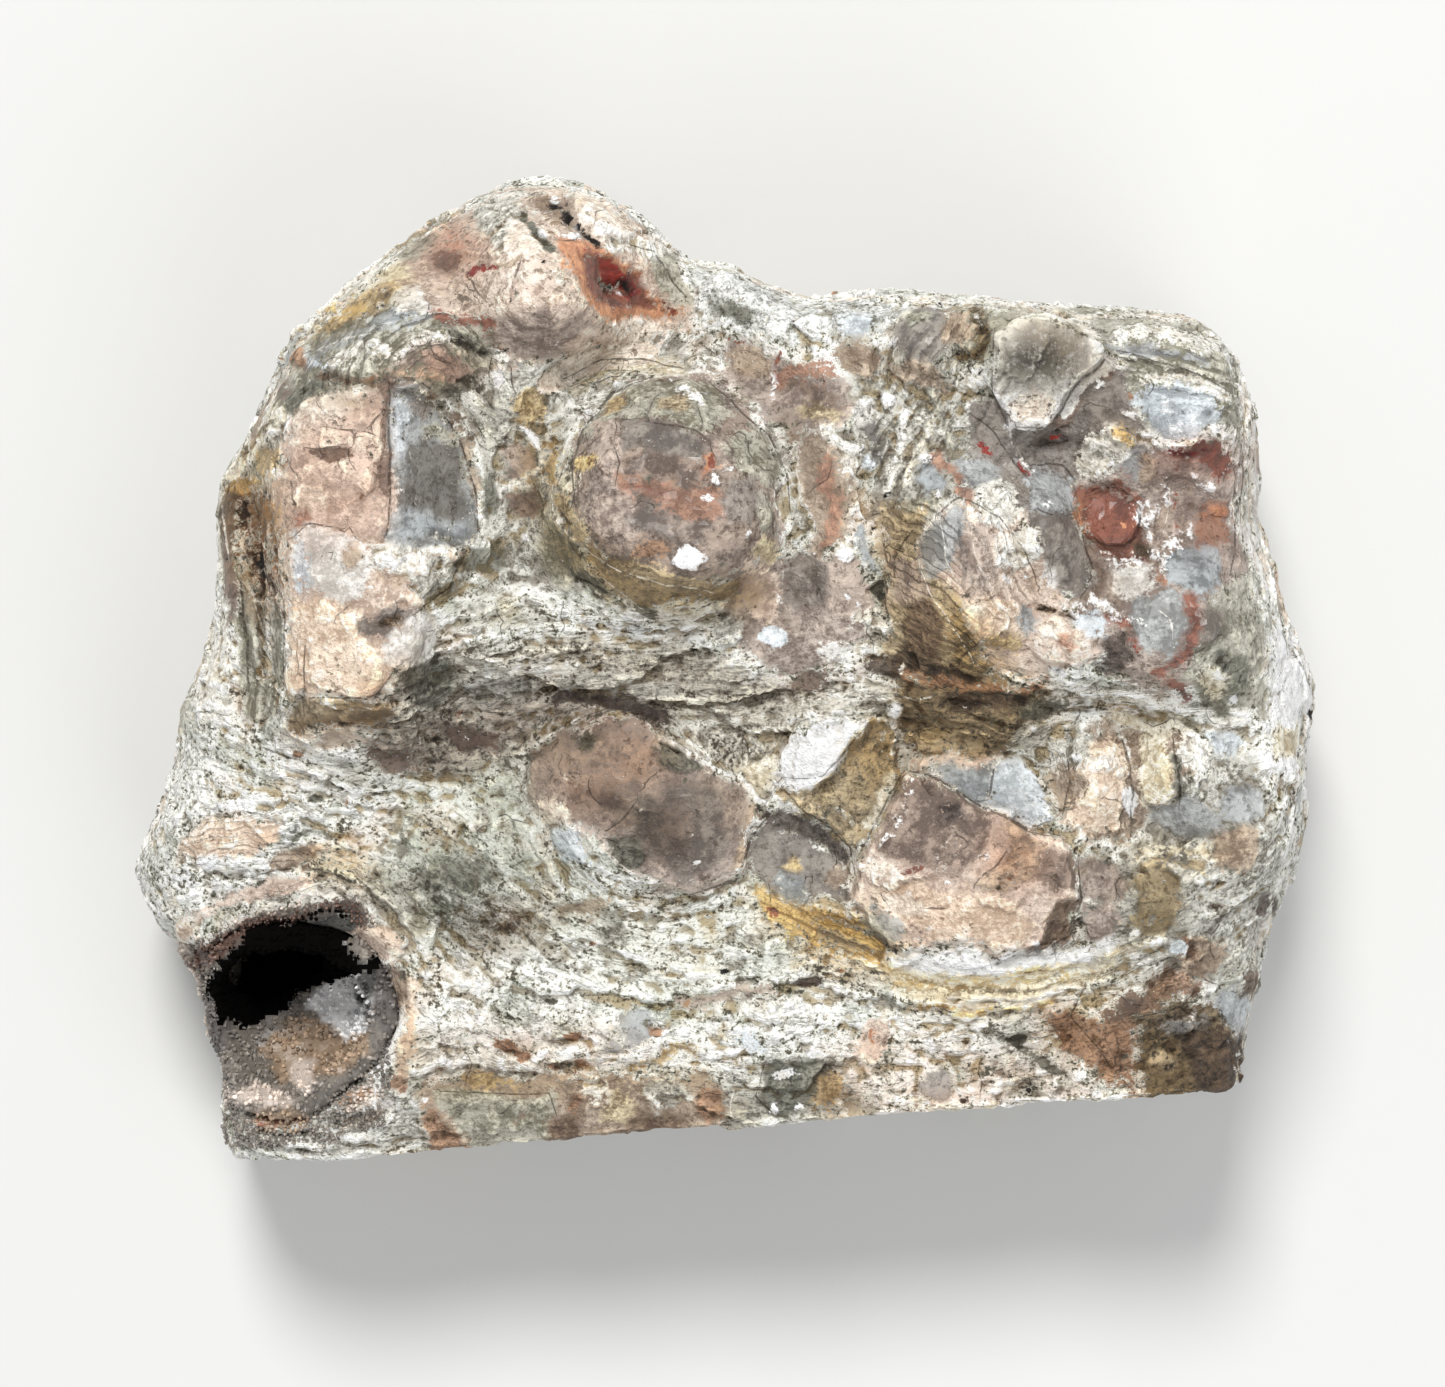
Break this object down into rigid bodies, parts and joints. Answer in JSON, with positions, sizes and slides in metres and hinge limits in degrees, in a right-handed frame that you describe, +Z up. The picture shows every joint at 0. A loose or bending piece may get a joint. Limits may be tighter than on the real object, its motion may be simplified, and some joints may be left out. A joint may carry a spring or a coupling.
{
  "type": "agate chunk",
  "caption": "Hand-sized lump of banded rhyolite with raised agate nodules, a flat front, a flat base and a crystal-lined hollow at its front left corner.",
  "frame": {"origin": "centre of the bounding box's bottom face, on the flat base", "axes": "+X to the right along the flat front, +Y towards the domed back, +Z up"},
  "size_m": [0.1016, 0.0846, 0.0445],
  "materials": {
    "banded": "matte",
    "crystals": "satin"
  },
  "bodies": {
    "root": {"banded_lump": "banded", "crystal_crust": "crystals"}
  },
  "joints": []
}
